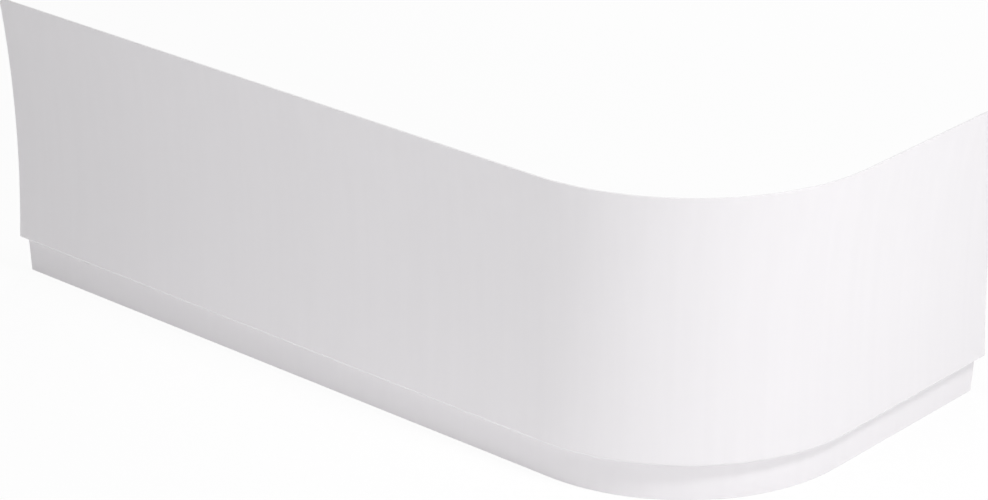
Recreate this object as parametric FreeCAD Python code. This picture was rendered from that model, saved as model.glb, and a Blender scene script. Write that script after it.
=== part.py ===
"""Bath panel for a bath with one rounded corner: a single moulded sheet of white acrylic.

One section is swept along the plan of the bath's rim: a long front run, a round corner and a
short end run. From the top down, the section is a face that leans and bows in, a rounded lip,
a soffit that turns in under it, and a toe plinth that drops to the floor with a little draft.
The sheet keeps one wall thickness throughout, and its top edge, foot and two ends are saw cut.

Millimetres. The origin is on the floor at the centre of the panel's outline, with +Z up, the
long front facing -Y and the short end run facing +X.
"""

import FreeCAD
import Part

import math
import os

from FreeCAD import Vector

# Plan of the panel, measured round its top edge
panel_length = 1700.0
panel_depth = 800.0
corner_radius = 390.0

# Section of the sheet, from the top edge to the floor
panel_height = 565.0
wall = 4.0
face_lean = 17.5
face_bow = 14.5
toe_height = 75.0
foot_inset = 43.5
plinth_draft = 5.0
lip_radius = 6.0
root_radius = 6.0
edge_round = 0.8

# The corner turns about an upright axis that both straight runs are tangent to
front_line = -panel_depth / 2
left_end = -panel_length / 2
corner_axis = Vector(panel_length / 2 - corner_radius, front_line + corner_radius, 0)
corner_turn = 90.0

# The bowed face follows one circle, whose centre lies out in front of the panel
face_rise = panel_height - toe_height
face_chord = math.hypot(face_lean, face_rise)
bow_radius = (face_chord**2 / 4 + face_bow**2) / (2 * face_bow)
bow_reach = (bow_radius - face_bow) / face_chord
bow_inset = face_lean / 2 - bow_reach * face_rise
bow_height = (panel_height + toe_height) / 2 - bow_reach * face_lean

# Rounding the leaning top edge takes a little off its outline, which the section makes up
round_height = panel_height - edge_round
round_inset = bow_inset + math.sqrt((bow_radius + edge_round) ** 2 - (round_height - bow_height) ** 2)
edge_loss = round_inset - edge_round

# Unit normal of the plinth, pointing in under the bath
plinth_slope = math.atan2(plinth_draft, toe_height)
plinth_normal = Vector(0, math.cos(plinth_slope), math.sin(plinth_slope))


def section_point(inset, height):
    """A point of the section at the left end: inset in from the top edge's outline, height up."""
    return Vector(left_end, front_line + inset - edge_loss, height)


def face_inset(height, depth):
    """Inset of the bowed face at a height, at a depth under its outer surface."""
    return bow_inset + math.sqrt((bow_radius + depth) ** 2 - (height - bow_height) ** 2)


def plinth_inset(height, depth):
    """Inset of the plinth at a height, at a depth under its outer surface."""
    return foot_inset - height * math.tan(plinth_slope) + depth / math.cos(plinth_slope)


def arc_about(centre, start, end):
    """The shorter arc from start to end about a centre."""
    radius = (start - centre).Length
    middle = centre + ((start - centre) + (end - centre)).normalize() * radius
    return Part.Arc(start, middle, end).toShape()


def moulded_line(depth):
    """The sheet's line at a depth under its outer surface, from the top edge down to the foot."""
    top = section_point(face_inset(panel_height, depth), panel_height)
    bow_centre = section_point(bow_inset, bow_height)

    # The lip rolls inside the sheet, so it tightens with depth
    lip_height = toe_height + lip_radius
    lip_centre = section_point(face_inset(lip_height, lip_radius), lip_height)
    lip_start = lip_centre + (bow_centre - lip_centre).normalize() * (lip_radius - depth)
    lip_end = lip_centre - Vector(0, 0, lip_radius - depth)

    # The root rolls outside the sheet, so it opens with depth
    root_height = toe_height - root_radius
    root_centre = section_point(plinth_inset(root_height, -root_radius), root_height)
    root_start = root_centre + Vector(0, 0, root_radius + depth)
    root_end = root_centre + plinth_normal * (root_radius + depth)
    foot = section_point(plinth_inset(0, depth), 0)

    return [
        arc_about(bow_centre, top, lip_start),
        arc_about(lip_centre, lip_start, lip_end),
        Part.LineSegment(lip_end, root_start).toShape(),
        arc_about(root_centre, root_start, root_end),
        Part.LineSegment(root_end, foot).toShape(),
    ]


def sheet_section():
    """The wall's cross-section at the left end, closed by the saw cuts at the top and the foot."""
    outer = moulded_line(0)
    inner = moulded_line(wall)
    top_cut = Part.LineSegment(inner[0].Vertexes[0].Point, outer[0].Vertexes[0].Point).toShape()
    foot_cut = Part.LineSegment(outer[-1].Vertexes[-1].Point, inner[-1].Vertexes[-1].Point).toShape()
    return Part.Face(Part.Wire(Part.__sortEdges__(outer + [foot_cut] + inner + [top_cut])))


def sweep_round_the_plan(section):
    """The section run along the front, turned about the corner and run along the short end."""
    front_run = Vector(corner_axis.x - left_end, 0, 0)
    end_run = Vector(0, panel_depth / 2 - corner_axis.y, 0)

    at_corner = section.translated(front_run)
    past_corner = at_corner.rotated(corner_axis, Vector(0, 0, 1), corner_turn)
    front = section.extrude(front_run)
    corner = at_corner.revolve(corner_axis, Vector(0, 0, 1), corner_turn)
    end = past_corner.extrude(end_run)
    return front.fuse([corner, end]).removeSplitter()


def lies_level(edge, height):
    """Whether both ends of an edge are at a height."""
    return all(math.isclose(vertex.Z, height, abs_tol=1e-6) for vertex in edge.Vertexes)


def ease_cut_edges(panel):
    """Rounds the saw-cut top edge and foot on both sides of the wall."""
    long_edges = [edge for edge in panel.Edges if edge.Length > 2 * wall]
    cut_edges = [edge for edge in long_edges if lies_level(edge, panel_height) or lies_level(edge, 0)]
    return panel.makeFillet(edge_round, cut_edges)


def bath_panel():
    """The finished panel, as one solid."""
    return ease_cut_edges(sweep_round_the_plan(sheet_section()))


def main():
    os.makedirs("parts", exist_ok=True)
    panel = bath_panel()
    panel.Solids[0].exportStep("parts/bath_panel.step")
    box = panel.optimalBoundingBox(False, False)
    print(
        "bath_panel: %d solid, valid %s, %.1f x %.1f x %.1f mm, %.2f litres"
        % (len(panel.Solids), panel.isValid(), box.XLength, box.YLength, box.ZLength, panel.Volume / 1e6)
    )


main()
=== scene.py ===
# %% [markdown]
# # A moulded bath panel
# The real object is one sheet of white acrylic, drawn over a mould. It runs along the front of a bath,
# turns a wide round corner and runs along the short side. Its face leans and bows in, and turns under a
# lip into a toe plinth. The engineering model is loaded first, and fixes the panel's place and size.
# Blender then adds the looks.

import math

import bmesh
import bpy
from mathutils import Matrix, Vector


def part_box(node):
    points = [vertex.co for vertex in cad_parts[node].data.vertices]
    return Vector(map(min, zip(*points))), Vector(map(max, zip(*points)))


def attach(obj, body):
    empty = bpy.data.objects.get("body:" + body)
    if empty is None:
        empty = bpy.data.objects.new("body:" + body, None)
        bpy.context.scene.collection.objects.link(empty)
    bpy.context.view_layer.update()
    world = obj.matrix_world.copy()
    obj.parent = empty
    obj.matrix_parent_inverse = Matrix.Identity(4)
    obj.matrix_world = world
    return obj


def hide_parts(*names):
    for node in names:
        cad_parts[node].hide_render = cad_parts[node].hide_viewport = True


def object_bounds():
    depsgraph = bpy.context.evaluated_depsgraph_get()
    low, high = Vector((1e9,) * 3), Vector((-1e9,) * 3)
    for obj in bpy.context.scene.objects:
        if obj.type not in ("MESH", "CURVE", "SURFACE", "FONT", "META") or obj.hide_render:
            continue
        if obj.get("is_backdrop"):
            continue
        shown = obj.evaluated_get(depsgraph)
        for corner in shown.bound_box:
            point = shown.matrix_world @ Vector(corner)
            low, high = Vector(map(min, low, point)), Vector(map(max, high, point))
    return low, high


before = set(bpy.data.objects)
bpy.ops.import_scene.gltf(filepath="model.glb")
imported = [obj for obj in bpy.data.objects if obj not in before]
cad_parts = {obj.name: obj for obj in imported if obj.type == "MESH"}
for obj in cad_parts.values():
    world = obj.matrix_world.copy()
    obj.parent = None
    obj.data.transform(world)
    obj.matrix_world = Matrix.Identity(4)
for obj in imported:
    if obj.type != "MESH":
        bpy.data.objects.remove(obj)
cad_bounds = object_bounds()
low, high = (Vector(corner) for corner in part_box("bath_panel"))
print("nodes", list(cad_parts), "panel box", [round(size, 4) for size in high - low])

# %% [markdown]
# ## The camera
# The photograph was taken from the right of the long front, from above and from far off, with a long lens.
# The camera could be turned by eye until the picture looks right. These values come from lining the
# panel's edges up with the picture instead: the place of the lens, where it points, and how much it takes
# in. Setting the camera first means that every later step can be compared with the photograph.

# %% Camera
CAMERA_PLACE = Vector((3.7890, -4.2778, 2.6479))
CAMERA_TURN = math.radians(41.358)
CAMERA_DIP = math.radians(23.435)
CAMERA_ROLL = math.radians(0.147)
LENS_MM = 123.97
SENSOR_MM = 36.0

camera_data = bpy.data.cameras.new("photo_camera")
camera_data.sensor_fit = "HORIZONTAL"
camera_data.sensor_width = SENSOR_MM
camera_data.lens = LENS_MM
camera = bpy.data.objects.new("photo_camera", camera_data)
bpy.context.scene.collection.objects.link(camera)
turned = Matrix.Rotation(CAMERA_TURN, 4, "Z") @ Matrix.Rotation(math.pi / 2 - CAMERA_DIP, 4, "X")
camera.matrix_world = Matrix.Translation(CAMERA_PLACE) @ turned @ Matrix.Rotation(CAMERA_ROLL, 4, "Z")
bpy.context.scene.camera = camera
bpy.context.scene.view_settings.view_transform = "Standard"
print("camera at", [round(value, 3) for value in CAMERA_PLACE], "with a lens of", LENS_MM, "mm")

# %% [markdown]
# ## The room
# The photograph is a cut-out on white. An even white room all round gives the same plain white and a soft
# light on everything. A room as bright as it looks would wash out the lamps, so the world has two
# strengths: the camera and the panel's gloss see it as white, and as a light it is much weaker.

# %% Room light
WHITE = (1.0, 1.0, 1.0, 1.0)
WHITE_OF_ROOM = 1.0
LIGHT_OF_ROOM = 0.25


def add_node(tree, kind, **values):
    """Adds a node to a tree and sets its values."""
    node = tree.nodes.new(kind)
    for name, value in values.items():
        setattr(node, name, value)
    return node


def seen_directly(tree):
    """A socket that is 1 for what the camera sees, straight, in gloss or through glass, and 0 for light."""
    path = add_node(tree, "ShaderNodeLightPath")
    either = add_node(tree, "ShaderNodeMath", operation="MAXIMUM")
    any_of_three = add_node(tree, "ShaderNodeMath", operation="MAXIMUM")
    tree.links.new(path.outputs["Is Camera Ray"], either.inputs[0])
    tree.links.new(path.outputs["Is Glossy Ray"], either.inputs[1])
    tree.links.new(either.outputs[0], any_of_three.inputs[0])
    tree.links.new(path.outputs["Is Transmission Ray"], any_of_three.inputs[1])
    return any_of_three.outputs[0]


world = bpy.data.worlds.new("white_room")
bpy.context.scene.world = world
world.use_nodes = True
room = world.node_tree
strength = add_node(room, "ShaderNodeMapRange")
strength.inputs["To Min"].default_value = LIGHT_OF_ROOM
strength.inputs["To Max"].default_value = WHITE_OF_ROOM
room.links.new(seen_directly(room), strength.inputs["Value"])
background = room.nodes["Background"]
background.inputs["Color"].default_value = WHITE
room.links.new(strength.outputs["Result"], background.inputs["Strength"])
print("room seen at", WHITE_OF_ROOM, "and lit at", LIGHT_OF_ROOM)

# %% [markdown]
# ## The lamps
# In the photograph the short side is bright and the long front a step darker, and the lip throws a soft
# shadow on the plinth that is deepest where the corner begins. One lamp alone would leave the front too
# dark, so the light is set up as in a studio: a soft key high on the right, a softbox over the front, two
# weak fills low before the front and beside the short side, and a wide one behind for the inner side.

# %% Lamps
CORNER_AIM = (0.6, -0.25, 0.3)
SOFTBOXES = {
    "key_softbox": {"place": (3.10, -0.51, 3.41), "aim": CORNER_AIM, "size": 0.8, "watts": 62.0},
    "overhead_softbox": {"place": (0.3, -1.1, 2.6), "aim": (0.3, -1.099, 0.0), "size": 1.2, "watts": 14.2},
    "front_fill": {"place": (0.3, -2.94, 0.79), "aim": (0.3, -0.4, 0.25), "size": 1.0, "watts": 11.6},
    "side_fill": {"place": (3.49, 0.0, 1.08), "aim": CORNER_AIM, "size": 1.0, "watts": 19.6},
    "rear_fill": {"place": (-1.6, 3.4, 2.2), "aim": (0.1, -0.2, 0.25), "size": 1.6, "watts": 48.0},
}


def add_softbox(name, place, aim, size, watts):
    """A square area lamp at a place, pointed at another."""
    data = bpy.data.lights.new(name, "AREA")
    data.shape = "SQUARE"
    data.size = size
    data.energy = watts
    lamp = bpy.data.objects.new(name, data)
    lamp.location = place
    lamp.rotation_euler = (Vector(aim) - Vector(place)).to_track_quat("-Z", "Y").to_euler()
    bpy.context.scene.collection.objects.link(lamp)


for name, softbox in SOFTBOXES.items():
    add_softbox(name, **softbox)
    print(name, softbox["watts"], "watts")

# %% [markdown]
# ## The floor
# The panel stands on a white floor that is like a photographer's light table. It glows a little, evenly,
# and so lights the plinth from below. A plain painted floor leaves the plinth too dark near the ground,
# and a brighter glow than this one draws a clear light line along the lip. Most of what the
# camera sees of the floor is its own white, and the rest is lit like any matt surface, so the panel's
# shadow stays on it as a faint tone.

# %% Floor
FLOOR_WIDTH = 24.0
FLOOR_PAINT = (0.85, 0.85, 0.85, 1.0)
FLOOR_WHITE_SHARE = 0.91
FLOOR_LIGHT = 0.15

bpy.ops.object.select_all(action="DESELECT")
bpy.ops.mesh.primitive_plane_add(size=FLOOR_WIDTH)
floor = bpy.context.object
floor.name = "studio_floor"
floor_finish = bpy.data.materials.new("studio_floor")
floor_finish.use_nodes = True
tree = floor_finish.node_tree
tree.nodes.remove(tree.nodes["Principled BSDF"])
matt = add_node(tree, "ShaderNodeBsdfDiffuse")
matt.inputs["Color"].default_value = FLOOR_PAINT
backlight = add_node(tree, "ShaderNodeEmission")
backlight.inputs["Strength"].default_value = FLOOR_LIGHT
lit_floor = add_node(tree, "ShaderNodeAddShader")
glow = add_node(tree, "ShaderNodeEmission")
share = add_node(tree, "ShaderNodeMath", operation="MULTIPLY")
share.inputs[1].default_value = FLOOR_WHITE_SHARE
blend = add_node(tree, "ShaderNodeMixShader")
tree.links.new(seen_directly(tree), share.inputs[0])
tree.links.new(share.outputs[0], blend.inputs["Fac"])
tree.links.new(matt.outputs[0], lit_floor.inputs[0])
tree.links.new(backlight.outputs[0], lit_floor.inputs[1])
tree.links.new(lit_floor.outputs[0], blend.inputs[1])
tree.links.new(glow.outputs[0], blend.inputs[2])
tree.links.new(blend.outputs[0], tree.nodes["Material Output"].inputs["Surface"])
floor.data.materials.append(floor_finish)
floor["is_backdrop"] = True
print("floor", FLOOR_WIDTH, "m wide, of which the camera sees", FLOOR_WHITE_SHARE, "as its own white")

# %% [markdown]
# ## The panel's sizes
# The panel could keep its engineering mesh, but that is made of flat facets, and a glossy round corner
# shows each one. So it is modelled again here, on the same sizes, as a fine grid that follows the form. In
# the section, the bowed face lies on one large circle with its centre out in front of the panel.

# %% Sizes, in metres
WALL = 0.004
CORNER_RADIUS = 0.390
FACE_LEAN = 0.0175
FACE_BOW = 0.0145
TOE_HEIGHT = 0.075
FOOT_INSET = 0.0435
PLINTH_DRAFT = 0.005
FOLD_RADIUS = 0.006
EDGE_ROUND = 0.0008

height = high.z
face_rise = height - TOE_HEIGHT
face_chord = math.hypot(FACE_LEAN, face_rise)
bow_radius = (face_chord**2 / 4 + FACE_BOW**2) / (2 * FACE_BOW)
bow_reach = (bow_radius - FACE_BOW) / face_chord
bow_inset = FACE_LEAN / 2 - bow_reach * face_rise
bow_height = (height + TOE_HEIGHT) / 2 - bow_reach * FACE_LEAN
rounded = math.sqrt((bow_radius + EDGE_ROUND) ** 2 - (height - EDGE_ROUND - bow_height) ** 2)
outline = low.y - (bow_inset + rounded - EDGE_ROUND)
corner_axis = Vector((high.x - CORNER_RADIUS, low.y + CORNER_RADIUS, 0.0))
lip = outline + FACE_LEAN
root = outline + FOOT_INSET - PLINTH_DRAFT
print("bow radius", round(bow_radius, 4), "corner axis", [round(value, 4) for value in corner_axis])

# %% [markdown]
# ## The soffit strip
# The section could be drawn as a line and swept. Here it grows by hand from its one level part, the narrow
# soffit under the lip, because each later step then has an edge to start from. A plane is added at the
# soffit's size along the straight front, and cut across into columns, to keep the long faces short.

# %% Soffit
X, Y, Z = 0, 1, 2
NEAR = 1e-5
FRONT_COLUMNS = 26


def pick_edges(test):
    """Selects the edges in edit mode whose two ends pass a test, and returns how many there are."""
    bpy.ops.mesh.select_mode(type="EDGE")
    bpy.ops.mesh.select_all(action="DESELECT")
    mesh = bmesh.from_edit_mesh(bpy.context.edit_object.data)
    picked = [edge for edge in mesh.edges if test(edge.verts[0].co, edge.verts[1].co)]
    for edge in picked:
        edge.select_set(True)
    bmesh.update_edit_mesh(bpy.context.edit_object.data)
    return len(picked)


front_run = corner_axis.x - low.x
soffit_depth = root - lip
soffit_middle = (low.x + front_run / 2, (lip + root) / 2, TOE_HEIGHT)
bpy.ops.object.select_all(action="DESELECT")
bpy.ops.mesh.primitive_plane_add(size=1.0, location=soffit_middle)
panel = bpy.context.object
panel.name = "moulded_panel"
panel.scale = (front_run, soffit_depth, 1.0)
bpy.ops.object.transform_apply(location=True, rotation=True, scale=True)
bpy.ops.object.mode_set(mode="EDIT")
pick_edges(lambda a, b: abs(a.x - b.x) > NEAR)
bpy.ops.mesh.subdivide(number_cuts=FRONT_COLUMNS - 1)
print("soffit is", round(front_run, 3), "by", round(soffit_depth, 4), "m")

# %% [markdown]
# ## The plinth
# The plinth is the wall at the back of the toe space. It could be a strip of its own, but on the real
# panel it is the same sheet, turned down. So the soffit's back edge is pulled down to the floor in a few
# rows, with a little spread, because a moulding has to draw off its mould. Like the real sheet it runs on
# past the floor line, and the spare is trimmed off later.

# %% Plinth
PLINTH_ROWS = 4
SPARE = 0.004


def lies_at(axis, value):
    """A test for edges that lie wholly at one value of X, Y or Z."""
    return lambda a, b: abs(a[axis] - value) < NEAR and abs(b[axis] - value) < NEAR


def pull(step):
    """Extrudes what is selected by a step."""
    bpy.ops.mesh.extrude_region_move(TRANSFORM_OT_translate={"value": step})


plinth_fall = TOE_HEIGHT + SPARE
plinth_spread = PLINTH_DRAFT * plinth_fall / TOE_HEIGHT
pick_edges(lies_at(Y, root))
for row in range(PLINTH_ROWS):
    pull((0.0, plinth_spread / PLINTH_ROWS, -plinth_fall / PLINTH_ROWS))
print("plinth falls", round(plinth_fall, 4), "m and spreads", round(plinth_spread, 4), "m")

# %% [markdown]
# ## The bowed face
# The front of the panel bows in a little, which also stiffens the thin sheet. The face could be pulled up
# straight and bent afterwards. Spinning the lip's edge up round the far centre of the bow gives the exact
# curve in one step, in even rows. A spin turns clockwise about its axis, so the axis here points to the
# left.

# %% Bowed face
FACE_ROWS = 28
LEFTWARDS = (-1.0, 0.0, 0.0)

bow_centre = Vector((0.0, outline + bow_inset, bow_height))
angle_at_lip = math.asin((TOE_HEIGHT - bow_height) / bow_radius)
angle_past_top = math.asin((height + SPARE - bow_height) / bow_radius)
face_turn = angle_past_top - angle_at_lip
pick_edges(lies_at(Y, lip))
bpy.ops.mesh.spin(steps=FACE_ROWS, angle=face_turn, center=bow_centre, axis=LEFTWARDS)
print("face turns", round(math.degrees(face_turn), 2), "degrees about the bow's centre")

# %% [markdown]
# ## The two folds
# A sheet that is drawn over a mould has no sharp folds. The lip and the root could be drawn as arcs from
# the start, but a bevel rounds a finished fold in one step. It is measured along the faces, so the width
# that gives a certain radius depends on how far the fold turns.

# %% Folds
FOLD_STEPS = 8


def round_fold(line, turn):
    """Rounds the fold on a line of the soffit to the sheet's radius, for a fold that turns by an angle."""
    on_line = lies_at(Y, line)
    on_soffit = lies_at(Z, TOE_HEIGHT)
    pick_edges(lambda a, b: on_line(a, b) and on_soffit(a, b))
    width = FOLD_RADIUS * math.tan(turn / 2)
    bpy.ops.mesh.bevel(
        offset_type="OFFSET", offset=width, segments=FOLD_STEPS, affect="EDGES", clamp_overlap=False
    )
    return width


lip_width = round_fold(lip, math.pi / 2 - angle_at_lip)
root_width = round_fold(root, math.pi / 2 - math.atan2(PLINTH_DRAFT, TOE_HEIGHT))
print("fold widths", round(lip_width, 5), round(root_width, 5))

# %% [markdown]
# ## The corner and the short side
# The corner could be bent with a curve. Instead, the end of the front strip is spun a quarter turn about
# the corner's upright axis, and then pulled straight along the short side. This carries every line of the
# section round the corner unbroken, as the mould does. Then all faces are made to point outwards, because
# the wall grows inwards from them in the next step.

# %% Corner and short side
CORNER_COLUMNS = 60
SIDE_COLUMNS = 8
DOWNWARDS = (0.0, 0.0, -1.0)

pick_edges(lies_at(X, corner_axis.x))
bpy.ops.mesh.spin(steps=CORNER_COLUMNS, angle=math.pi / 2, center=corner_axis, axis=DOWNWARDS)
side_run = high.y - corner_axis.y
for column in range(SIDE_COLUMNS):
    pull((0.0, side_run / SIDE_COLUMNS, 0.0))
bpy.ops.mesh.select_all(action="SELECT")
bpy.ops.mesh.normals_make_consistent(inside=False)
bpy.ops.object.mode_set(mode="OBJECT")
front_faces = [face for face in panel.data.polygons if face.center.x < corner_axis.x]
turned_inwards = [face for face in front_faces if face.normal.y > NEAR]
print("short side runs", round(side_run, 3), "m past the corner")
print("sheet faces", len(panel.data.polygons), "and front faces that point inwards", len(turned_inwards))

# %% [markdown]
# ## The wall
# The real sheet is a few millimetres thick. A second skin could be modelled inside the first, but Solidify
# makes it at an even distance, inwards, so that the outer face stays where it is. It can also mark the
# inner wall and the edges with finishes of their own, so the panel's three finishes are given to it first.

# %% Wall
INWARDS = -1.0
BACK_SLOT = 1
EDGE_SLOT = 2

face_finish = bpy.data.materials.new("gloss_acrylic_face")
back_finish = bpy.data.materials.new("satin_sheet_back")
edge_finish = bpy.data.materials.new("sawn_edge")
for finish in (face_finish, back_finish, edge_finish):
    panel.data.materials.append(finish)


def apply_modifier(kind, **values):
    """Adds a modifier to the panel, sets it and applies it."""
    modifier = panel.modifiers.new(kind.lower(), kind)
    for name, value in values.items():
        setattr(modifier, name, value)
    bpy.ops.object.modifier_apply(modifier=modifier.name)


apply_modifier(
    "SOLIDIFY",
    thickness=WALL,
    offset=INWARDS,
    use_even_offset=True,
    use_quality_normals=True,
    material_offset=BACK_SLOT,
    material_offset_rim=EDGE_SLOT,
)
print("wall", WALL, "m thick, with", len(panel.data.polygons), "faces")

# %% [markdown]
# ## Trimming
# The real moulding is trimmed with a saw along its top and its foot. The edges could be slid to the right
# level one by one. Bisect cuts as the saw does, at the two levels that the engineering model gives, and
# each cut is closed by bridging the outer and the inner side of the wall.

# %% Trim
UPWARDS = (0.0, 0.0, 1.0)


def trim(level, **cleared):
    """Cuts the panel at a level, clears one side of the cut, closes the wall and counts its edges there."""
    bpy.ops.mesh.select_all(action="SELECT")
    bpy.ops.mesh.bisect(plane_co=(0.0, 0.0, level), plane_no=UPWARDS, **cleared)
    at_cut = lies_at(Z, level)
    at_left_end = lies_at(X, low.x)
    at_side_end = lies_at(Y, high.y)
    count = pick_edges(lambda a, b: at_cut(a, b) and not at_left_end(a, b) and not at_side_end(a, b))
    bpy.ops.mesh.bridge_edge_loops()
    panel.active_material_index = EDGE_SLOT
    bpy.ops.object.material_slot_assign()
    return count


bpy.ops.object.mode_set(mode="EDIT")
top_edges = trim(height, clear_outer=True)
foot_edges = trim(0.0, clear_inner=True)
print("bridged", top_edges, "edges along the top and", foot_edges, "along the foot")

# %% [markdown]
# ## Eased edges
# Sawn acrylic is sharp, so its edges are drawn off with a scraper. They could be picked by hand, but every
# sharp edge that is left is a sawn one, so they are found by their angle and bevelled. Weighted normals
# then keep the broad faces smooth right up to them.

# %% Eased edges
SHARP_ANGLE = math.radians(60)
SMOOTH_ANGLE = math.radians(50)
EASE_STEPS = 3

bpy.ops.mesh.select_mode(type="EDGE")
bpy.ops.mesh.select_all(action="DESELECT")
bpy.ops.mesh.edges_select_sharp(sharpness=SHARP_ANGLE)
bpy.ops.mesh.bevel(
    offset_type="OFFSET", offset=EDGE_ROUND, segments=EASE_STEPS, affect="EDGES", clamp_overlap=False
)
bpy.ops.object.mode_set(mode="OBJECT")
bpy.ops.object.shade_smooth_by_angle(angle=SMOOTH_ANGLE)
apply_modifier("WEIGHTED_NORMAL", keep_sharp=True)
print("panel faces", len(panel.data.polygons), "size", [round(size, 5) for size in panel.dimensions])

# %% [markdown]
# ## Patterns of the face
# A moulded sheet is never quite even. Its white drifts a little from place to place, and faint upright
# streaks show where it stretched over the mould. Both could be painted on an unwrapped map. Noise on the
# panel's own coordinates needs no map, and has no seam where the corner begins.

# %% Patterns of the face
DRIFT = {"lumps": 2.2, "detail": 2.0}
STREAKS = {"lumps": 55.0, "detail": 2.0, "stretch": (1.0, 1.0, 0.03)}


def start_finish(finish):
    """Gives a finish its nodes, and returns the tree, the shader and the panel's own coordinates."""
    finish.use_nodes = True
    tree = finish.node_tree
    coordinates = add_node(tree, "ShaderNodeTexCoord")
    return tree, tree.nodes["Principled BSDF"], coordinates.outputs["Object"]


def noise(tree, coordinates, lumps, detail, stretch=(1.0, 1.0, 1.0)):
    """A noise pattern with so many lumps to the metre, drawn out along an axis by a small number."""
    mapping = add_node(tree, "ShaderNodeMapping")
    mapping.inputs["Scale"].default_value = stretch
    texture = add_node(tree, "ShaderNodeTexNoise")
    texture.inputs["Scale"].default_value = lumps
    texture.inputs["Detail"].default_value = detail
    tree.links.new(coordinates, mapping.inputs["Vector"])
    tree.links.new(mapping.outputs["Vector"], texture.inputs["Vector"])
    return texture.outputs["Fac"]


tree, shader, place = start_finish(face_finish)
drift = noise(tree, place, **DRIFT)
streaks = noise(tree, place, **STREAKS)
print("lumps to the metre: drift", DRIFT["lumps"], "and streaks", STREAKS["lumps"])

# %% [markdown]
# ## The white of the face
# The outer face is white acrylic, with the faint lilac cast of the photograph. One flat colour would do
# from far off, but looks too even close up. So the drift and the streaks are added together, and their sum
# moves the colour between two whites that are nearly the same.

# %% White of the face
STREAK_TONE = 0.25
DEEPER_WHITE = (0.855, 0.836, 0.857)
PALER_WHITE = (0.876, 0.857, 0.878)
USUAL_NOISE = (0.3, 0.7)


def between(tree, pattern, lowest, highest):
    """A number that a pattern moves between two limits."""
    limits = add_node(tree, "ShaderNodeMapRange")
    limits.inputs["From Min"].default_value = USUAL_NOISE[0]
    limits.inputs["From Max"].default_value = USUAL_NOISE[1]
    limits.inputs["To Min"].default_value = lowest
    limits.inputs["To Max"].default_value = highest
    tree.links.new(pattern, limits.inputs["Value"])
    return limits.outputs["Result"]


def tint(tree, pattern, first, second):
    """A colour that a pattern moves between two tints."""
    mix = add_node(tree, "ShaderNodeMix", data_type="RGBA")
    mix.inputs["A"].default_value = (*first, 1.0)
    mix.inputs["B"].default_value = (*second, 1.0)
    tree.links.new(pattern, mix.inputs["Factor"])
    return mix.outputs["Result"]


tone = add_node(tree, "ShaderNodeMath", operation="ADD", use_clamp=True)
tree.links.new(drift, tone.inputs[0])
tree.links.new(between(tree, streaks, -STREAK_TONE, STREAK_TONE), tone.inputs[1])
tree.links.new(tint(tree, tone.outputs[0], DEEPER_WHITE, PALER_WHITE), shader.inputs["Base Color"])
print("white from", DEEPER_WHITE, "to", PALER_WHITE)

# %% [markdown]
# ## The gloss of the face
# Polished acrylic is glossy but never quite flat. It has a fine orange peel, long soft waves, and the same
# streaks, some of them a little duller. The waves could be modelled, but they are much too shallow to show
# in the outline, so a bump is enough. The three patterns are laid over each other, the long waves first.

# %% Gloss of the face
ACRYLIC_IOR = 1.49
FACE_ROUGHNESS = (0.16, 0.24)
WAVES = {"lumps": 3.5, "detail": 1.0, "stretch": (1.0, 1.0, 0.5)}
PEEL = {"lumps": 240.0, "detail": 1.0}
WAVE_DEPTH = 0.0012
STREAK_DEPTH = 0.00002
PEEL_DEPTH = 0.000012


def relief(tree, pattern, depth, below=None):
    """A bump of a pattern with a depth in metres, laid over another bump."""
    bump = add_node(tree, "ShaderNodeBump")
    bump.inputs["Strength"].default_value = 1.0
    bump.inputs["Distance"].default_value = depth
    tree.links.new(pattern, bump.inputs["Height"])
    if below is not None:
        tree.links.new(below, bump.inputs["Normal"])
    return bump.outputs["Normal"]


shader.inputs["IOR"].default_value = ACRYLIC_IOR
tree.links.new(between(tree, streaks, *FACE_ROUGHNESS), shader.inputs["Roughness"])
uneven = relief(tree, noise(tree, place, **WAVES), WAVE_DEPTH)
drawn = relief(tree, streaks, STREAK_DEPTH, uneven)
peeled = relief(tree, noise(tree, place, **PEEL), PEEL_DEPTH, drawn)
tree.links.new(peeled, shader.inputs["Normal"])
print("face roughness", FACE_ROUGHNESS, "with", len(tree.nodes), "nodes")

# %% [markdown]
# ## The satin back
# Behind, the same sheet lay against the mould, whose grain left it dull. It is a touch greyer, cloudy,
# with a fine even grain. A copy of the face's finish with a rougher gloss would still show the streaks and
# the peel, so the back has its own nodes: one cloud for its tone and dullness, and one grain for its
# relief.

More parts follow.
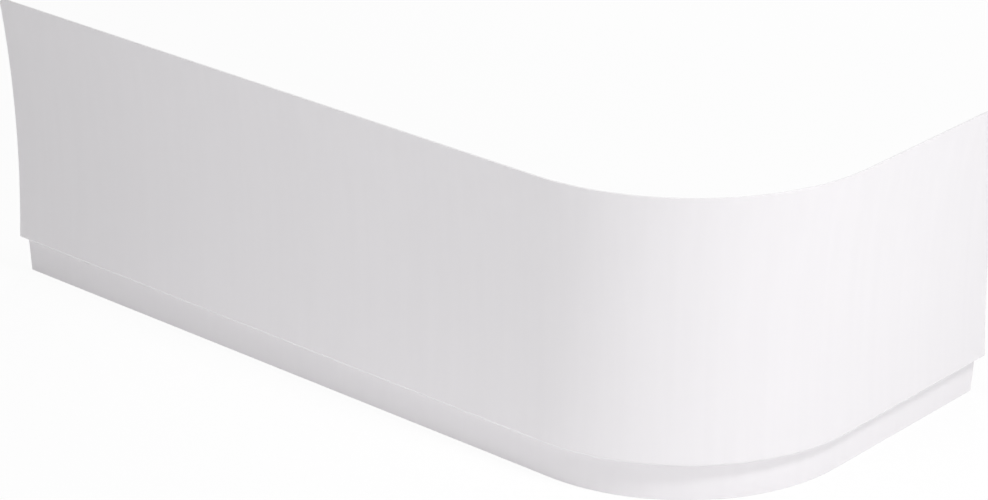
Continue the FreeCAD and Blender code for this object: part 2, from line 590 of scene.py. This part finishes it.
# %% Satin back
CLOUD = {"lumps": 6.0, "detail": 4.0}
GRAIN = {"lumps": 900.0, "detail": 2.0}
GRAIN_DEPTH = 0.00006
DEEPER_BACK = (0.79, 0.78, 0.79)
PALER_BACK = (0.84, 0.83, 0.84)
BACK_ROUGHNESS = (0.48, 0.62)

tree, shader, place = start_finish(back_finish)
cloud = noise(tree, place, **CLOUD)
grain = noise(tree, place, **GRAIN)
shader.inputs["IOR"].default_value = ACRYLIC_IOR
tree.links.new(tint(tree, cloud, DEEPER_BACK, PALER_BACK), shader.inputs["Base Color"])
tree.links.new(between(tree, cloud, *BACK_ROUGHNESS), shader.inputs["Roughness"])
tree.links.new(relief(tree, grain, GRAIN_DEPTH), shader.inputs["Normal"])
print("back roughness", BACK_ROUGHNESS, "with", len(tree.nodes), "nodes")

# %% [markdown]
# ## The sawn edges
# A saw leaves fine marks on the cut. They could be cut into the mesh, but they are too small to change the
# outline. So a fine noise, drawn out upwards, moves the tone, the dullness and the relief together, and
# the edge stays matt.

# %% Sawn edges
SAW_MARKS = {"lumps": 700.0, "detail": 2.0, "stretch": (1.0, 1.0, 0.25)}
SAW_DEPTH = 0.00008
DEEPER_EDGE = (0.80, 0.79, 0.80)
PALER_EDGE = (0.87, 0.86, 0.87)
EDGE_ROUGHNESS = (0.5, 0.7)

tree, shader, place = start_finish(edge_finish)
marks = noise(tree, place, **SAW_MARKS)
shader.inputs["IOR"].default_value = ACRYLIC_IOR
tree.links.new(tint(tree, marks, DEEPER_EDGE, PALER_EDGE), shader.inputs["Base Color"])
tree.links.new(between(tree, marks, *EDGE_ROUGHNESS), shader.inputs["Roughness"])
tree.links.new(relief(tree, marks, SAW_DEPTH), shader.inputs["Normal"])
print("edge roughness", EDGE_ROUGHNESS, "with", len(tree.nodes), "nodes")

# %% [markdown]
# ## Handing over
# The modelled panel takes the place of the engineering mesh, which stays for collision, and moves with its
# body. The last lines write down both boxes, to show that the looks have not changed the size.

# %% Hand over
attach(panel, "root")
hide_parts("bath_panel")
boxes = {"cad": cad_bounds, "visual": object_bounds()}
for name, corners in boxes.items():
    print(name, "box", [[round(value, 5) for value in corner] for corner in corners])
